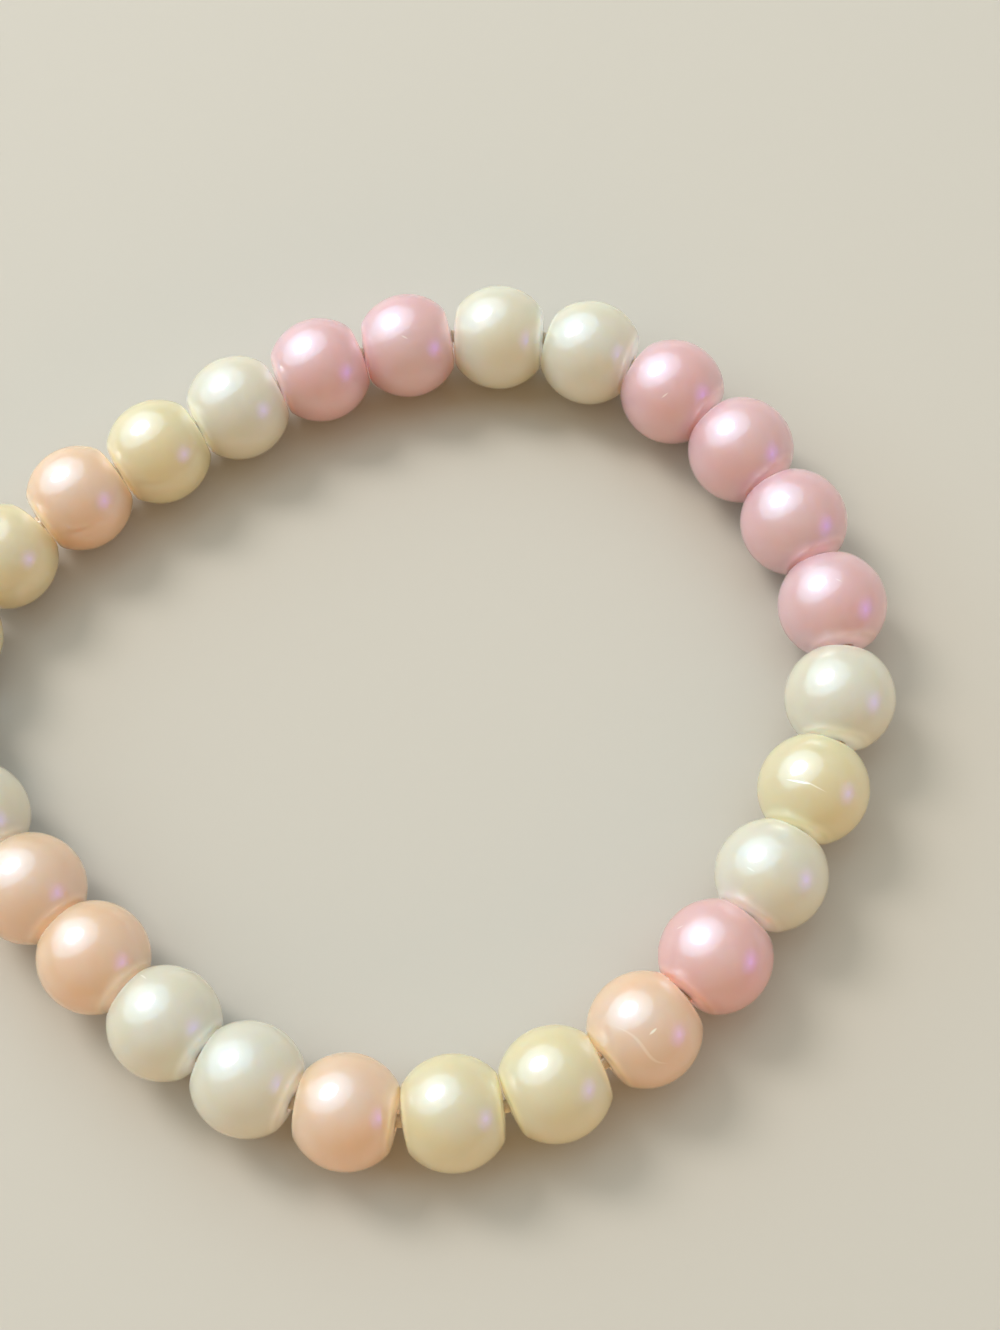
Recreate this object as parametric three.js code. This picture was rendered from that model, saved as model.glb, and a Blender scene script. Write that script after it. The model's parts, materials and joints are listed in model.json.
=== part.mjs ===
import * as THREE from 'three';

// Every length is in millimetres. +Z is up and the bracelet lies on Z = 0.

// The bead: a round bead with gently domed ends, drilled from end to end.
const beadCount = 27;
const beadDiameter = 8;
const beadLength = 6.82;
const endAngle = 54.4; // degrees round from the widest place to the edge of an end
const endRise = 0.16; // how far an end stands out from its edge
const flatRim = 0.3; // width of the flat ring round the hole

// The thread, and the room it has in the drilled holes.
const threadDiameter = 0.8;
const threadClearance = 0.3; // on every side

// The gap between two neighbours, on the inside of the bend where they are nearest.
const beadGap = 0.12;

// The route of the string: its bends as [across, along] shares of half its depth.
const routePoints = [
  [-0.975, 0.397],
  [-0.694, 0.623],
  [-0.071, 0.956],
  [0.431, 0.978],
  [0.849, 0.717],
  [1.115, 0.148],
  [0.993, -0.321],
  [0.628, -0.801],
  [0.231, -0.991],
  [-0.202, -0.962],
  [-0.682, -0.626],
  [-1.127, -0.009],
];

// How finely the round shapes are divided.
const beadSides = 16;
const roundingSteps = 3; // from the widest place to the edge of an end
const threadSides = 8;
const routeDivisions = 1500;

// Pearl colours, and their order along the string.
const pearlColours = {
  white: 0xeeeadc,
  cream: 0xebe2c4,
  yellow: 0xebdca6,
  peach: 0xf0c8a4,
  pink: 0xdfa9ae,
  rose: 0xe79ea2,
};
const colourOrder = [
  'yellow', 'peach', 'yellow', 'white', 'pink', 'pink', 'white', 'white', 'pink',
  'pink', 'pink', 'pink', 'white', 'yellow', 'white', 'rose', 'peach', 'yellow',
  'yellow', 'peach', 'white', 'white', 'peach', 'peach', 'white', 'cream', 'yellow',
];
const pearlRoughness = 0.25;
const threadColour = 0xd9d2c4;
const threadRoughness = 0.4;

// Sizes that follow from the ones above.
const beadRadius = beadDiameter / 2;
const beadHalfLength = beadLength / 2;
const threadRadius = threadDiameter / 2;
const holeRadius = threadRadius + threadClearance;
const flatRadius = holeRadius + flatRim;
const fullTurn = 2 * Math.PI;
const down = new THREE.Vector3(0, 0, -1);

// Half of the bead's outline, from the widest place to the flat ring. The straight steps of its
// round part lie along the outside, so that the bead keeps its full width.
function roundedOutline() {
  const edgeAngle = THREE.MathUtils.degToRad(endAngle);
  const edgeAlong = beadHalfLength - endRise;
  const depth = edgeAlong / Math.sin(edgeAngle);
  const step = edgeAngle / roundingSteps;
  const round = Array.from({ length: roundingSteps }, (_, index) => {
    const angle = (index + 1 / 2) * step;
    const outward = (beadRadius * Math.cos(angle)) / Math.cos(step / 2);
    return new THREE.Vector2(outward, (depth * Math.sin(angle)) / Math.cos(step / 2));
  });
  const edge = new THREE.Vector2(beadRadius * Math.cos(edgeAngle), edgeAlong);
  return [...round, edge, new THREE.Vector2(flatRadius, beadHalfLength)];
}

// The closed outline of the drilled bead, beside its axis.
function beadOutline() {
  const upper = roundedOutline();
  const lower = upper.map((point) => new THREE.Vector2(point.x, -point.y)).reverse();
  const holeStart = new THREE.Vector2(holeRadius, -beadHalfLength);
  const holeEnd = new THREE.Vector2(holeRadius, beadHalfLength);
  return [holeStart, ...lower, ...upper, holeEnd, holeStart.clone()];
}

// How far a bead reaches from its centre in a direction at this angle to its hole.
function beadReach(outline, angle) {
  const reaches = outline.map((point) => {
    return point.y * Math.cos(angle) + point.x * Math.abs(Math.sin(angle));
  });
  return Math.max(...reaches);
}

// The smooth closed route of the string, before it is scaled.
function routeCurve() {
  const corners = routePoints.map(([across, along]) => new THREE.Vector3(across, along, 0));
  const curve = new THREE.CatmullRomCurve3(corners, true);
  curve.arcLengthDivisions = routeDivisions;
  return curve;
}

// Each bead's heading runs from the bead before it to the bead after it.
function headingsOf(centres) {
  const count = centres.length;
  return centres.map((_, index) => {
    const before = centres[(index + count - 1) % count];
    const after = centres[(index + 1) % count];
    return after.clone().sub(before).normalize();
  });
}

// For each bead, the distance to the next one that leaves the named gap, over their distance now.
function stretchOf(centres, outline) {
  const headings = headingsOf(centres);
  return centres.map((centre, index) => {
    const next = (index + 1) % centres.length;
    const toNext = centres[next].clone().sub(centre);
    const needed =
      beadReach(outline, headings[index].angleTo(toNext)) +
      beadReach(outline, headings[next].angleTo(toNext)) +
      beadGap;
    return needed / toNext.length();
  });
}

// Moves the beads along the route until every gap is the same, then scales the route to fit them.
// The gaps are even well before there have been as many passes as beads.
function beadCentres(outline) {
  const curve = routeCurve();
  let shares = Array.from({ length: beadCount }, () => 1 / beadCount);
  let centres = [];
  let stretch = [];
  for (let pass = 0; pass < beadCount; pass += 1) {
    let travelled = 0;
    centres = shares.map((share) => {
      const centre = curve.getPointAt(travelled);
      travelled = Math.min(travelled + share, 1);
      return centre;
    });
    stretch = stretchOf(centres, outline);
    const wanted = shares.map((share, index) => share * stretch[index]);
    const total = wanted.reduce((sum, value) => sum + value, 0);
    shares = wanted.map((value) => value / total);
  }
  const scale = Math.max(...stretch);
  return centres.map((centre) => {
    return new THREE.Vector3(centre.x * scale, centre.y * scale, beadRadius);
  });
}

// A matrix that turns a shape's own Y axis along the heading, and one of its sides to the floor.
function placeAlong(heading, centre) {
  const side = heading.clone().cross(down);
  return new THREE.Matrix4().makeBasis(side, heading, down).setPosition(centre);
}

function finish(colour, roughness) {
  return new THREE.MeshStandardMaterial({ color: colour, roughness, metalness: 0 });
}

// One drilled bead, with a flat side underneath at its widest place.
function buildBead(name, colour, outline, centre, heading) {
  const cornerFactor = 1 / Math.cos(Math.PI / beadSides);
  const widened = outline.map((point) => new THREE.Vector2(point.x * cornerFactor, point.y));
  const geometry = new THREE.LatheGeometry(widened, beadSides);
  geometry.rotateY(Math.PI / beadSides);
  geometry.applyMatrix4(placeAlong(heading, centre));
  const bead = new THREE.Mesh(geometry, finish(colour, pearlRoughness));
  bead.name = name;
  return bead;
}

// The thread's path: straight through each bead, and straight on to the next bead's hole.
function threadPath(centres, headings) {
  return centres.flatMap((centre, index) => {
    const reach = headings[index].clone().multiplyScalar(beadHalfLength);
    return [centre.clone().sub(reach), centre.clone().add(reach)];
  });
}

// The rings of corners round the thread, one at each end of every hole.
function threadRings(path) {
  const headings = headingsOf(path);
  return path.map((point, index) => {
    const matrix = placeAlong(headings[index], point);
    return Array.from({ length: threadSides }, (_, side) => {
      const angle = (side * fullTurn) / threadSides;
      const corner = new THREE.Vector3(Math.cos(angle), 0, Math.sin(angle));
      return corner.multiplyScalar(threadRadius).applyMatrix4(matrix);
    });
  });
}

// The elastic thread: one closed loop through all of the beads.
function buildThread(centres, headings) {
  const rings = threadRings(threadPath(centres, headings));
  const positions = rings.flat().flatMap((corner) => corner.toArray());
  const indices = rings.flatMap((_, ring) => {
    const nextRing = (ring + 1) % rings.length;
    return Array.from({ length: threadSides }, (__, side) => {
      const nextSide = (side + 1) % threadSides;
      const here = ring * threadSides + side;
      const beside = ring * threadSides + nextSide;
      const ahead = nextRing * threadSides + side;
      const across = nextRing * threadSides + nextSide;
      return [here, ahead, across, here, across, beside];
    }).flat();
  });
  const geometry = new THREE.BufferGeometry();
  geometry.setAttribute('position', new THREE.Float32BufferAttribute(positions, 3));
  geometry.setIndex(indices);
  geometry.computeVertexNormals();
  const thread = new THREE.Mesh(geometry, finish(threadColour, threadRoughness));
  thread.name = 'elastic_thread';
  return thread;
}

// Puts the middle of the bracelet over the origin.
function centreOverOrigin(group) {
  const middle = new THREE.Box3().setFromObject(group).getCenter(new THREE.Vector3());
  group.children.forEach((mesh) => mesh.geometry.translate(-middle.x, -middle.y, 0));
}

function buildBracelet() {
  const outline = beadOutline();
  const centres = beadCentres(outline);
  const headings = headingsOf(centres);
  const group = new THREE.Group();
  group.name = 'pearl_bracelet';
  centres.forEach((centre, index) => {
    const name = `bead_${String(index + 1).padStart(2, '0')}`;
    const colour = pearlColours[colourOrder[index % colourOrder.length]];
    group.add(buildBead(name, colour, outline, centre, headings[index]));
  });
  group.add(buildThread(centres, headings));
  centreOverOrigin(group);
  return group;
}

export default buildBracelet();
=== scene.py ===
import json
import math
import random

import bmesh
import bpy
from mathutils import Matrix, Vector


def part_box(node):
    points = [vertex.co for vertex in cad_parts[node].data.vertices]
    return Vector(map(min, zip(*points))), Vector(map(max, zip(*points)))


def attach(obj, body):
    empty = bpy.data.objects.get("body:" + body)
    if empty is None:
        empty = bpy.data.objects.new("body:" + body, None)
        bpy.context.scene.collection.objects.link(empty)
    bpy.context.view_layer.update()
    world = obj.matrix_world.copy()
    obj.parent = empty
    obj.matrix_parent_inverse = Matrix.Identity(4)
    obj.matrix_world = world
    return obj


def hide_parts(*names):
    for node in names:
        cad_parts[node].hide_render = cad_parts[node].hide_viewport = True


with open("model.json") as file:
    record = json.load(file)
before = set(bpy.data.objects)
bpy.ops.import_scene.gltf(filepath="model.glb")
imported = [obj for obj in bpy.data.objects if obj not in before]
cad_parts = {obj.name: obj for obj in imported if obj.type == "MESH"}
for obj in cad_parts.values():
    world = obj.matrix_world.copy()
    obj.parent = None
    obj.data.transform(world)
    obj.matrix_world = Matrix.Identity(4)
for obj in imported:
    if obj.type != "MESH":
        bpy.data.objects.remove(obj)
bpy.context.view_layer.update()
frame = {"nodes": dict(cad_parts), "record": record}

scene = bpy.context.scene
random.seed(27)
up = Vector((0, 0, 1))


# Helpers for building meshes

def joinRings(shape, rings):  # a closed skin over rings of corners, the last ring meeting the first
    for index, ring in enumerate(rings):
        following = rings[(index + 1) % len(rings)]
        for place in range(len(ring)):
            after = (place + 1) % len(ring)
            shape.faces.new((ring[place], ring[after], following[after], following[place]))


def makePiece(name, shape):
    mesh = bpy.data.meshes.new(name)
    bmesh.ops.recalc_face_normals(shape, faces=shape.faces)
    for face in shape.faces:
        face.smooth = True
    shape.to_mesh(mesh)
    shape.free()
    piece = bpy.data.objects.new(name, mesh)
    scene.collection.objects.link(piece)
    return piece


def handOver(piece, node, material):
    piece.data.materials.append(material)
    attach(piece, "root")
    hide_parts(node)


# Helpers for building shader trees

def startMaterial(name):
    material = bpy.data.materials.new(name)
    material.use_nodes = True
    tree = material.node_tree
    tree.nodes.clear()
    output = tree.nodes.new("ShaderNodeOutputMaterial")
    shader = tree.nodes.new("ShaderNodeBsdfPrincipled")
    tree.links.new(shader.outputs["BSDF"], output.inputs["Surface"])
    return material, tree, shader


def startGroup(name, inputs, outputs):  # returns the tree, the values given to it and its results
    tree = bpy.data.node_groups.new(name, "ShaderNodeTree")
    for label, kind in inputs.items():
        tree.interface.new_socket(label, in_out="INPUT", socket_type="NodeSocket" + kind)
    for label, kind in outputs.items():
        tree.interface.new_socket(label, in_out="OUTPUT", socket_type="NodeSocket" + kind)
    given = tree.nodes.new("NodeGroupInput").outputs
    return tree, given, tree.nodes.new("NodeGroupOutput").inputs


def placeGroup(tree, group, values):
    node = tree.nodes.new("ShaderNodeGroup")
    node.node_tree = group
    for label, value in values.items():
        node.inputs[label].default_value = value
    return node


def plug(tree, socket, value):
    if isinstance(value, bpy.types.NodeSocket):
        tree.links.new(value, socket)
    else:
        socket.default_value = value


def objectPlace(tree):
    return tree.nodes.new("ShaderNodeTexCoord").outputs["Object"]


def addMath(tree, operation, *values):
    node = tree.nodes.new("ShaderNodeMath")
    node.operation = operation
    for socket, value in zip(node.inputs, values):
        plug(tree, socket, value)
    return node.outputs[0]


def addVectorMath(tree, operation, first, second):
    node = tree.nodes.new("ShaderNodeVectorMath")
    node.operation = operation
    plug(tree, node.inputs[0], first)
    plug(tree, node.inputs[1], second)
    return node.outputs["Value" if operation in ("DOT_PRODUCT", "DISTANCE") else "Vector"]


def addNoise(tree, place, scale, detail, roughness):
    noise = tree.nodes.new("ShaderNodeTexNoise")
    plug(tree, noise.inputs["Vector"], place)
    plug(tree, noise.inputs["Scale"], scale)
    noise.inputs["Detail"].default_value = detail
    noise.inputs["Roughness"].default_value = roughness
    return noise.outputs["Fac"]


def addRange(tree, value, start, finish=(0.0, 1.0), smooth=False):  # maps one range to another
    node = tree.nodes.new("ShaderNodeMapRange")
    node.interpolation_type = "SMOOTHSTEP" if smooth else "LINEAR"
    labels = ("Value", "From Min", "From Max", "To Min", "To Max")
    for label, part in zip(labels, (value, *start, *finish)):
        plug(tree, node.inputs[label], part)
    return node.outputs["Result"]


def addMix(tree, factor, first, second):
    mix = tree.nodes.new("ShaderNodeMix")
    mix.data_type = "RGBA"
    plug(tree, mix.inputs[0], factor)
    plug(tree, mix.inputs[6], first)
    plug(tree, mix.inputs[7], second)
    return mix.outputs[2]


def addBump(tree, height, strength, distance, shader):
    bump = tree.nodes.new("ShaderNodeBump")
    bump.inputs["Strength"].default_value = strength
    bump.inputs["Distance"].default_value = distance
    tree.links.new(height, bump.inputs["Height"])
    tree.links.new(bump.outputs["Normal"], shader.inputs["Normal"])


# The pearls' shape

pearl = {
    "diameter": 0.008,
    "length": 0.00698,  # along the hole, a hair short of the next pearl
    "edgeAngle": 55.6,  # degrees round from the widest place to the edge of an end
    "edgeSoftening": 3.5,  # degrees over which that edge is rounded
    "domeSoftening": 0.25,  # share of the end, from its edge inward, that is rounded with it
    "endRise": 0.00018,  # how far an end stands out from its edge
    "holeRadius": 0.0007,
    "lipRadius": 0.00012,  # rounding at the mouth of the hole
    "roundSteps": 22,
    "edgeSteps": 6,
    "domePlaces": (0.35, 0.7),  # shares of the way across an end where it has a ring of corners
    "lipSteps": 3,
    "sides": 80,
    "sizeSpread": 0.004,  # share by which a pearl may fall short of full size
}


def pearlOutline(radius, halfLength):  # half of the outline, each point outward and then along
    hole = pearl["holeRadius"]
    lip = pearl["lipRadius"]
    edgeAngle = math.radians(pearl["edgeAngle"])
    edge = Vector((radius * math.cos(edgeAngle), halfLength - pearl["endRise"]))
    depth = edge.y / math.sin(edgeAngle)
    mouth = Vector((hole + lip, halfLength))
    outline = [Vector((hole, 0.0)), Vector((hole, halfLength / 2))]
    for step in range(pearl["lipSteps"] + 1):
        angle = math.pi / 2 * step / pearl["lipSteps"]
        outline.append(mouth - Vector((lip * math.cos(angle), lip * (1 - math.sin(angle)))))
    domeEnd = edge.lerp(mouth, pearl["domeSoftening"])
    outline += [mouth.lerp(domeEnd, share) for share in pearl["domePlaces"]]
    softAngle = edgeAngle - math.radians(pearl["edgeSoftening"])
    roundStart = Vector((radius * math.cos(softAngle), depth * math.sin(softAngle)))
    for step in range(pearl["edgeSteps"] + 1):
        share = step / pearl["edgeSteps"]
        outline.append(domeEnd.lerp(edge, share).lerp(edge.lerp(roundStart, share), share))
    for step in range(1, pearl["roundSteps"] + 1):
        angle = softAngle * (1 - step / pearl["roundSteps"])
        outline.append(Vector((radius * math.cos(angle), depth * math.sin(angle))))
    return outline


def buildPearl(name, centre, heading):
    radius = pearl["diameter"] / 2 * (1 - random.random() * pearl["sizeSpread"])
    halfLength = pearl["length"] / 2
    upper = pearlOutline(radius, halfLength)
    outline = upper + [Vector((point.x, -point.y)) for point in reversed(upper[1:-1])]
    side = heading.cross(up).normalized()
    centre = Vector((centre.x, centre.y, radius))  # down on the floor, whatever its size
    shape = bmesh.new()
    nearMouth = shape.verts.layers.float.new("nearMouth")  # 0 at the middle, 1 at the ends
    rings = []
    for index in range(pearl["sides"]):
        angle = 2 * math.pi * index / pearl["sides"]
        outward = side * math.cos(angle) + up * math.sin(angle)
        ring = []
        for point in outline:
            corner = shape.verts.new(centre + outward * point.x + heading * point.y)
            corner[nearMouth] = abs(point.y) / halfLength
            ring.append(corner)
        rings.append(ring)
    joinRings(shape, rings)
    return makePiece(name, shape)


# The pearl coating: clouded colour, fine grain and faint ripples, the same for every shade

coating = {
    "cloudScale": 150.0,
    "cloudDetail": (3.0, 0.5),  # detail and roughness of the noise
    "cloudEdges": (0.35, 0.7),  # where in the noise a cloud starts and is full
    "cloudShare": 0.5,  # how much of the deeper colour the clouds bring in
    "grainScale": 9000.0,
    "grainDetail": (2.0, 0.6),
    "grainEdges": (0.3, 0.7),
    "grainHeight": 0.03,  # beside the ripples
    "roughness": (0.46, 0.54),
    "rippleScale": 260.0,
    "rippleDetail": (2.0, 0.45),
    "rippleStrength": 0.12,
    "rippleDepth": 0.00003,
    "lustre": 1.0,  # the clear outer layer
    "lustreRoughness": 0.11,
    "lustreIndex": 2.0,
    "bloomTint": (0.56, 0.72, 1.0),
    "glow": 1.0,  # share of light that travels inside the coating
    "glowReach": (0.0070, 0.0045, 0.0028),
    "rimBlend": 0.45,
    "paintedGrooveLightReach": (0.82, 1.0),  # share of the way to an end where the colour is painted lighter, painted light for the grooves between pearls
    "paintedGlowReach": (0.945, 0.98),  # share of the way to an end where the pearl has a painted glow, standing in for light through and between the pearls
    # strength of that painted glow at the ends
    "paintedGlowStrength": 0.22,
}

pearlShades = {  # the face of the pearl, deeper near its rim, painted lighter by its holes as painted light in the grooves between pearls, and its bloom
    "pearl_white": ((0.57, 0.56, 0.51), (0.61, 0.54, 0.38), (0.80, 0.76, 0.67), 1.45),
    "pearl_cream": ((0.58, 0.55, 0.45), (0.64, 0.54, 0.34), (0.83, 0.74, 0.56), 1.48),
    "pearl_yellow": ((0.58, 0.53, 0.39), (0.65, 0.53, 0.27), (0.84, 0.72, 0.46), 1.50),
    "pearl_peach": ((0.63, 0.48, 0.395), (0.73, 0.41, 0.205), (0.88, 0.60, 0.42), 1.60),
    "pearl_pink": ((0.60, 0.41, 0.42), (0.65, 0.335, 0.35), (0.82, 0.50, 0.49), 1.70),
    "pearl_rose": ((0.63, 0.42, 0.41), (0.66, 0.29, 0.27), (0.86, 0.48, 0.44), 1.72),
}


def buildCoatingGroup():
    tree, given, result = startGroup(
        "pearlCoating",
        {"Face": "Color", "Depth": "Color", "Cloud Scale": "Float", "Cloud Share": "Float",
         "Grain Scale": "Float", "Smoothest": "Float", "Roughest": "Float", "Ripple Scale": "Float"},
        {"Colour": "Color", "Roughness": "Float", "Height": "Float"})
    place = objectPlace(tree)
    cloud = addNoise(tree, place, given["Cloud Scale"], *coating["cloudDetail"])
    clouded = addRange(tree, cloud, coating["cloudEdges"], smooth=True)
    share = addMath(tree, "MULTIPLY", clouded, given["Cloud Share"])
    tree.links.new(addMix(tree, share, given["Face"], given["Depth"]), result["Colour"])
    grain = addNoise(tree, place, given["Grain Scale"], *coating["grainDetail"])
    roughness = addRange(tree, grain, coating["grainEdges"], (given["Smoothest"], given["Roughest"]))
    tree.links.new(roughness, result["Roughness"])
    ripple = addNoise(tree, place, given["Ripple Scale"], *coating["rippleDetail"])
    height = addMath(tree, "MULTIPLY_ADD", grain, coating["grainHeight"], ripple)
    tree.links.new(height, result["Height"])
    return tree


# Handling marks: fine scratches and nicks in the coating

scratchLook = {
    "colour": (0.95, 0.92, 0.86),
    "height": -0.3,  # beside the ripples
    "softEdge": 0.7,  # share of its half width over which a scratch fades
    "reach": 1.5,  # half lengths from its middle, beyond which it ends
}

# For each shade: the pearl's number, the middle and one end of the scratch as degrees round and
# degrees up, its half width, its bend and its strength
scratches = {
    "pearl_white": [(15, (-164.1, 62.8), (-152.7, 66.2), 0.00009, 0.0, 0.3),
                    (22, (112.4, 43.0), (107.2, 50.8), 0.00009, 0.0, 0.4)],
    "pearl_yellow": [(14, (-155.8, 68.2), (-107.4, 76.3), 0.00011, 0.0, 0.95),
                     (14, (-110.1, 75.0), (-69.6, 67.5), 0.00007, 0.0, 0.5)],
    "pearl_peach": [(17, (-93.7, 60.1), (-56.9, 36.7), 0.00018, 0.00035, 0.22),
                    (17, (-62.1, 76.1), (-37.2, 76.2), 0.00012, 0.0, 0.6)],
    "pearl_pink": [(6, (-86.4, 69.5), (-75.7, 66.6), 0.00008, 0.0, 0.4),
                   (9, (-109.9, 56.4), (-103.4, 60.6), 0.00008, 0.0, 0.5),
                   (12, (85.6, 85.6), (25.9, 85.2), 0.00007, 0.0, 0.2)],
    "pearl_rose": [(16, (150.5, 42.9), (146.1, 46.6), 0.00008, 0.0, 0.3)],
}


def buildScratchGroup():
    tree, given, result = startGroup(
        "scratch",
        {"Middle": "Vector", "Run": "Vector", "Across": "Vector", "Half Length": "Float",
         "Half Width": "Float", "Bend": "Float", "Strength": "Float"},
        {"Mask": "Float"})
    place = objectPlace(tree)
    away = addVectorMath(tree, "SUBTRACT", place, given["Middle"])
    run = addVectorMath(tree, "DOT_PRODUCT", away, given["Run"])
    along = addMath(tree, "DIVIDE", run, given["Half Length"])
    wave = addMath(tree, "SINE", addMath(tree, "MULTIPLY", along, math.pi))
    bend = addMath(tree, "MULTIPLY", wave, given["Bend"])
    across = addVectorMath(tree, "DOT_PRODUCT", away, given["Across"])
    aside = addMath(tree, "SUBTRACT", across, bend)
    taper = addMath(tree, "SUBTRACT", 1.0, addMath(tree, "MULTIPLY", along, along))
    width = addMath(tree, "MULTIPLY", given["Half Width"], taper)
    near = addMath(tree, "SUBTRACT", width, addMath(tree, "ABSOLUTE", aside))
    inside = addMath(tree, "DIVIDE", near, given["Half Width"])
    line = addRange(tree, inside, (0.0, scratchLook["softEdge"]), smooth=True)
    reach = addMath(tree, "MULTIPLY", given["Half Length"], scratchLook["reach"])
    distance = addVectorMath(tree, "DISTANCE", place, given["Middle"])
    mark = addMath(tree, "MULTIPLY", line, addMath(tree, "LESS_THAN", distance, reach))
    tree.links.new(addMath(tree, "MULTIPLY", mark, given["Strength"]), result["Mask"])
    return tree


coatingGroup = buildCoatingGroup()
scratchGroup = buildScratchGroup()


def onPearl(centre, angles):
    turn, lift = (math.radians(angle) for angle in angles)
    flat = math.cos(lift)
    direction = Vector((math.cos(turn) * flat, math.sin(turn) * flat, math.sin(lift)))
    return centre + direction * pearl["diameter"] / 2


def addScratches(tree, slot, centres):
    total = None
    for number, middleAngles, endAngles, halfWidth, bend, strength in scratches.get(slot, []):
        centre = centres[number - 1]
        middle = onPearl(centre, middleAngles)
        run = onPearl(centre, endAngles) - middle
        across = run.cross(middle - centre).normalized()
        mark = placeGroup(tree, scratchGroup, {
            "Middle": middle, "Run": run.normalized(), "Across": across,
            "Half Length": run.length, "Half Width": halfWidth, "Bend": bend,
            "Strength": strength}).outputs["Mask"]
        total = mark if total is None else addMath(tree, "MAXIMUM", total, mark)
    return total


def buildPearlMaterial(slot, centres):
    # light is the painted lighter colour used near the ends and for their painted glow
    face, deep, light, bloomIndex = pearlShades[slot]
    material, tree, shader = startMaterial(slot)
    layer = placeGroup(tree, coatingGroup, {
        "Face": (*face, 1), "Depth": (*deep, 1), "Cloud Scale": coating["cloudScale"],
        "Cloud Share": coating["cloudShare"], "Grain Scale": coating["grainScale"],
        "Smoothest": coating["roughness"][0], "Roughest": coating["roughness"][1],
        "Ripple Scale": coating["rippleScale"]})
    height = layer.outputs["Height"]
    rim = tree.nodes.new("ShaderNodeLayerWeight")
    rim.inputs["Blend"].default_value = coating["rimBlend"]
    colour = addMix(tree, rim.outputs["Facing"], layer.outputs["Colour"], (*deep, 1))
    mouth = tree.nodes.new("ShaderNodeAttribute")
    mouth.attribute_name = "nearMouth"
    # Painted light: the colour turns lighter towards the ends, where the grooves between pearls lie
    # in shade
    byPaintedGrooveLight = addRange(tree, mouth.outputs["Fac"], coating["paintedGrooveLightReach"], smooth=True)
    colour = addMix(tree, byPaintedGrooveLight, colour, (*light, 1))
    # Painted glow: the ends give off light in the lighter colour, standing in for light through and
    # between the pearls
    byPaintedGlow = addRange(tree, mouth.outputs["Fac"], coating["paintedGlowReach"], smooth=True)
    paintedGlowColour = addMix(tree, byPaintedGlow, (0, 0, 0, 1), (*light, 1))
    scratch = addScratches(tree, slot, centres)
    if scratch is not None:
        colour = addMix(tree, scratch, colour, (*scratchLook["colour"], 1))
        height = addMath(tree, "MULTIPLY_ADD", scratch, scratchLook["height"], height)
    tree.links.new(colour, shader.inputs["Base Color"])
    tree.links.new(layer.outputs["Roughness"], shader.inputs["Roughness"])
    tree.links.new(paintedGlowColour, shader.inputs["Emission Color"])
    shader.inputs["Emission Strength"].default_value = coating["paintedGlowStrength"]
    shader.inputs["IOR"].default_value = bloomIndex
    shader.inputs["Specular Tint"].default_value = (*coating["bloomTint"], 1)
    shader.inputs["Coat Weight"].default_value = coating["lustre"]
    shader.inputs["Coat Roughness"].default_value = coating["lustreRoughness"]
    shader.inputs["Coat IOR"].default_value = coating["lustreIndex"]
    shader.inputs["Subsurface Weight"].default_value = coating["glow"]
    shader.inputs["Subsurface Radius"].default_value = coating["glowReach"]
    shader.inputs["Subsurface Scale"].default_value = 1.0  # the reach is in metres already
    addBump(tree, height, coating["rippleStrength"], coating["rippleDepth"], shader)
    return material


def stringCentres():  # each pearl's place, and its heading from the pearl before to the one after
    names = sorted(name for name in frame["nodes"] if name.startswith("bead_"))
    boxes = [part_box(name) for name in names]
    centres = [(Vector(low) + Vector(high)) / 2 for low, high in boxes]
    following = centres[1:] + centres[:1]
    headings = [(following[index] - centres[index - 1]).normalized() for index in range(len(names))]
    return names, centres, headings


def buildPearls(names, centres, headings):
    slots = {row["node"]: row["material_slot"] for row in frame["record"]["subparts"]}
    materials = {slot: buildPearlMaterial(slot, centres) for slot in pearlShades}
    for name, centre, heading in zip(names, centres, headings):
        piece = buildPearl(name.replace("bead", "pearl"), centre, heading)
        handOver(piece, name, materials[slots[name]])
    print("pearls:", len(names))


# The elastic thread, one closed loop through the pearls

thread = {
    "diameter": 0.0008,
    "sides": 16,
    "stepsPerStretch": 6,
    "colour": (0.95, 0.78, 0.55),
    "shade": 0.72,  # how dark its darker strands are beside that colour
    "clearness": 0.12,
    "index": 1.45,
    "roughness": (0.28, 0.42),
    "strandScale": 2600.0,
    "strandDetail": (3.0, 0.6),
    "strandEdges": (0.3, 0.7),
    "strandStrength": 0.25,
    "strandDepth": 0.00002,
}


def easeBetween(start, end, startPull, endPull, share):  # a point on a smooth bend
    square = share ** 2
    cube = share ** 3
    return (start * (2 * cube - 3 * square + 1) + startPull * (cube - 2 * square + share)
            + end * (3 * square - 2 * cube) + endPull * (cube - square))


def threadPath(centres, headings):  # straight through each hole, and bent in the gaps
    half = pearl["length"] / 2
    knots = []
    for centre, heading in zip(centres, headings):
        knots += [centre - heading * half, centre + heading * half]
    path = []
    for index in range(len(knots)):
        before, start, end, after = (knots[(index + shift) % len(knots)] for shift in (-1, 0, 1, 2))
        isGap = index % 2 == 1
        startPull = (end - before) / 2 if isGap else end - start
        endPull = (after - start) / 2 if isGap else end - start
        for step in range(thread["stepsPerStretch"]):
            share = step / thread["stepsPerStretch"]
            path.append(easeBetween(start, end, startPull, endPull, share))
    return path


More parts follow.
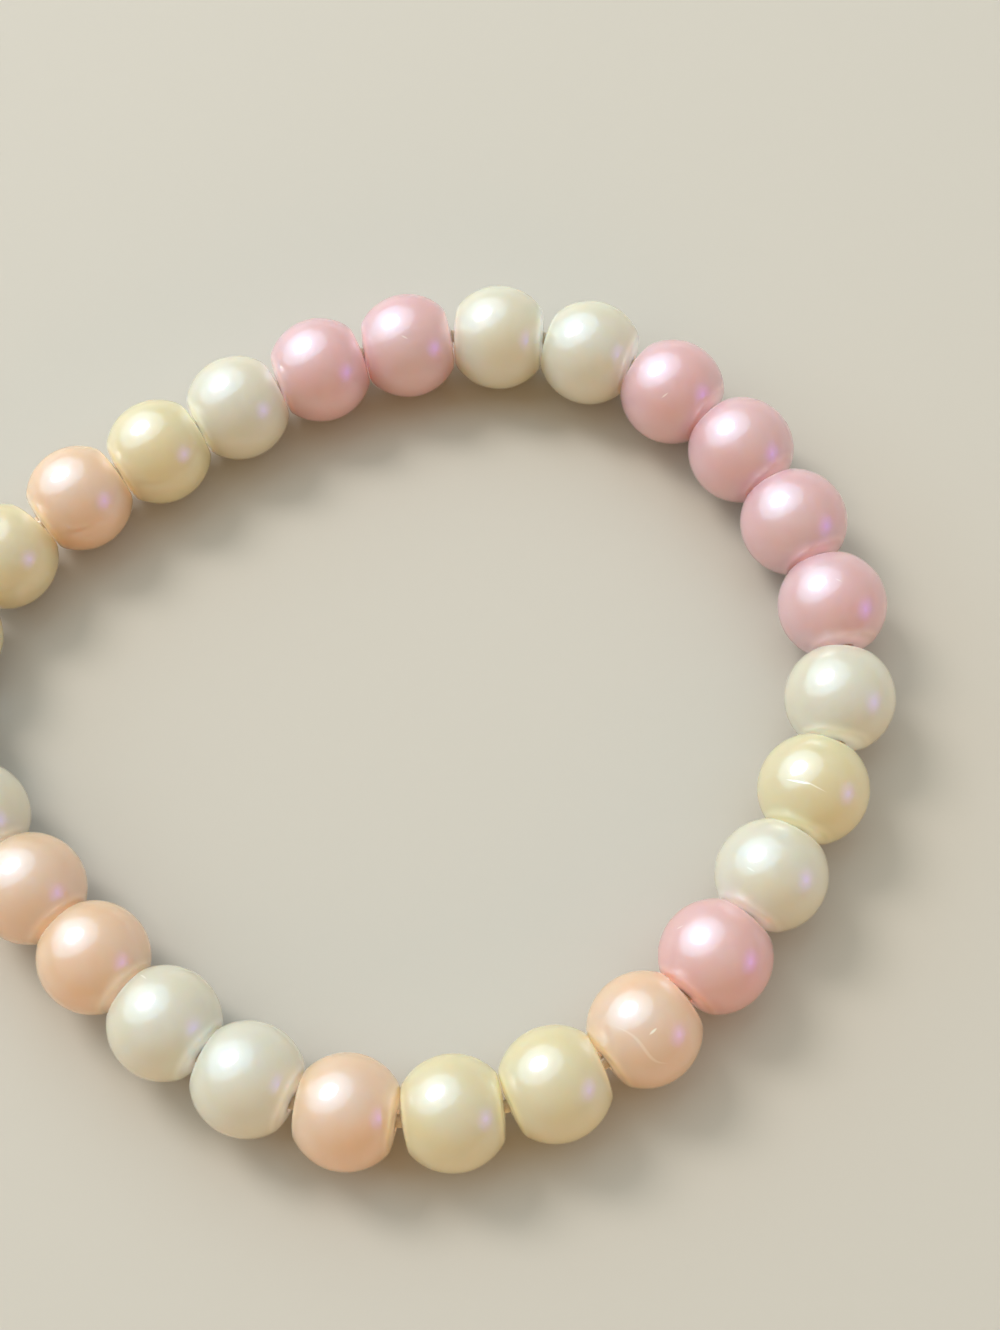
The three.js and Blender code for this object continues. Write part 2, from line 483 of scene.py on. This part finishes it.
def buildThreadMaterial():
    material, tree, shader = startMaterial("elasticThread")
    strand = addNoise(tree, objectPlace(tree), thread["strandScale"], *thread["strandDetail"])
    darker = tuple(part * thread["shade"] for part in thread["colour"])
    byStrand = addRange(tree, strand, thread["strandEdges"])
    colour = addMix(tree, byStrand, (*thread["colour"], 1), (*darker, 1))
    roughness = addRange(tree, strand, thread["strandEdges"], thread["roughness"])
    tree.links.new(colour, shader.inputs["Base Color"])
    tree.links.new(roughness, shader.inputs["Roughness"])
    shader.inputs["Transmission Weight"].default_value = thread["clearness"]
    shader.inputs["IOR"].default_value = thread["index"]
    addBump(tree, strand, thread["strandStrength"], thread["strandDepth"], shader)
    return material


def buildThread(centres, headings):
    path = threadPath(centres, headings)
    radius = thread["diameter"] / 2
    shape = bmesh.new()
    rings = []
    for index, point in enumerate(path):
        heading = (path[(index + 1) % len(path)] - path[index - 1]).normalized()
        side = heading.cross(up).normalized()
        ring = []
        for corner in range(thread["sides"]):
            angle = 2 * math.pi * corner / thread["sides"]
            outward = side * math.cos(angle) + up * math.sin(angle)
            ring.append(shape.verts.new(point + outward * radius))
        rings.append(ring)
    joinRings(shape, rings)
    handOver(makePiece("thread", shape), "elastic_thread", buildThreadMaterial())
    print("thread")


beadNames, beadCentres, beadHeadings = stringCentres()
buildPearls(beadNames, beadCentres, beadHeadings)
buildThread(beadCentres, beadHeadings)


# Floor, lamps and camera

floorLook = {"size": 3.0, "colour": (0.54, 0.48, 0.41), "roughness": 0.85, "shine": 0.2}


def buildFloor():
    half = floorLook["size"] / 2
    mesh = bpy.data.meshes.new("floor")
    corners = [(-half, -half, 0), (half, -half, 0), (half, half, 0), (-half, half, 0)]
    mesh.from_pydata(corners, [], [(0, 1, 2, 3)])
    floor = bpy.data.objects.new("floor", mesh)
    scene.collection.objects.link(floor)
    material, tree, shader = startMaterial("floorPaper")
    shader.inputs["Base Color"].default_value = (*floorLook["colour"], 1.0)
    shader.inputs["Roughness"].default_value = floorLook["roughness"]
    shader.inputs["Specular IOR Level"].default_value = floorLook["shine"]
    mesh.materials.append(material)


keySide = (-0.488, 0.485, 0.723)
violetSide = (0.925, -0.24, 0.30)


def violetLight(width, power):  # one of the rounds of light that add up to a soft violet spot
    return {"toward": violetSide, "away": 0.8, "size": (width, width), "turn": 0.0, "power": power,
            "colour": (0.30, 0.15, 1.0), "lightsPaint": False, "shines": True}


lamps = {  # toward the lamp from the middle, metres away, width and height, turn, watts
    "keyLamp": {"toward": keySide, "away": 0.9, "size": (0.42, 0.26), "turn": -35.0, "power": 3.6,
                "colour": (1.0, 0.98, 0.95), "lightsPaint": True, "shines": False},
    "sparkLamp": {"toward": keySide, "away": 0.9, "size": (0.50, 0.40), "turn": -28.0, "power": 24.0,
                  "colour": (1.0, 0.99, 0.98), "lightsPaint": False, "shines": True},
    "violetCore": violetLight(0.14, 0.13),
    "violetLamp": violetLight(0.28, 0.25),
    "violetRing": violetLight(0.42, 0.45),
    "violetHaze": violetLight(0.60, 0.45),
    "skyLamp": {"toward": (-0.49, 0.5, 0.714), "away": 1.5, "size": (3.0, 2.4), "turn": -30.0,
                "power": 22.0, "colour": (0.60, 0.85, 1.0), "lightsPaint": True, "shines": True},
    "coolFill": {"toward": (0.6, 0.35, 0.72), "away": 1.2, "size": (1.4, 1.4), "turn": 0.0,
                 "power": 6.4, "colour": (0.42, 0.72, 1.0), "lightsPaint": True, "shines": False},
    "leftFill": {"toward": (-0.93, 0.1, 0.35), "away": 1.2, "size": (1.2, 0.8), "turn": 0.0,
                 "power": 3.4, "colour": (0.28, 0.60, 1.0), "lightsPaint": True, "shines": False},
    "warmFill": {"toward": (0.3, -0.85, 0.3), "away": 1.0, "size": (0.9, 0.5), "turn": 0.0,
                 "power": 2.0, "colour": (1.0, 0.64, 0.28), "lightsPaint": True, "shines": False},
}
surroundings = {"colour": (1.0, 0.81, 0.50), "strength": 0.47}


def buildLamp(name, look):
    light = bpy.data.lights.new(name, "AREA")
    light.shape = "ELLIPSE"
    light.size, light.size_y = look["size"]
    light.energy = look["power"]
    light.color = look["colour"]
    lamp = bpy.data.objects.new(name, light)
    toward = Vector(look["toward"]).normalized()
    lamp.location = toward * look["away"]
    lamp.rotation_euler = toward.to_track_quat("Z", "Y").to_euler()
    lamp.rotation_euler.rotate_axis("Z", math.radians(look["turn"]))
    lamp.visible_diffuse = look["lightsPaint"]
    lamp.visible_glossy = look["shines"]
    scene.collection.objects.link(lamp)


def buildSurroundings():
    world = bpy.data.worlds.new("room")
    world.use_nodes = True
    background = world.node_tree.nodes["Background"]
    background.inputs["Color"].default_value = (*surroundings["colour"], 1.0)
    background.inputs["Strength"].default_value = surroundings["strength"]
    scene.world = world


viewpoint = {
    "place": (0.01393, -0.04912, 0.14127),
    "turn": (20.599, 2.269, 0.0),
    "lens": 54.135,
    "filmHeight": 36.0,
    "nearest": 0.01,
}


def buildCamera():
    lens = bpy.data.cameras.new("viewpoint")
    lens.sensor_fit = "VERTICAL"
    lens.sensor_height = viewpoint["filmHeight"]
    lens.lens = viewpoint["lens"]
    lens.clip_start = viewpoint["nearest"]
    camera = bpy.data.objects.new("viewpoint", lens)
    camera.location = viewpoint["place"]
    camera.rotation_euler = [math.radians(angle) for angle in viewpoint["turn"]]
    scene.collection.objects.link(camera)
    scene.camera = camera


buildFloor()
for lampName, lampLook in lamps.items():
    buildLamp(lampName, lampLook)
buildSurroundings()
buildCamera()
scene.view_settings.view_transform = "Standard"
print("floor, lamps and camera")
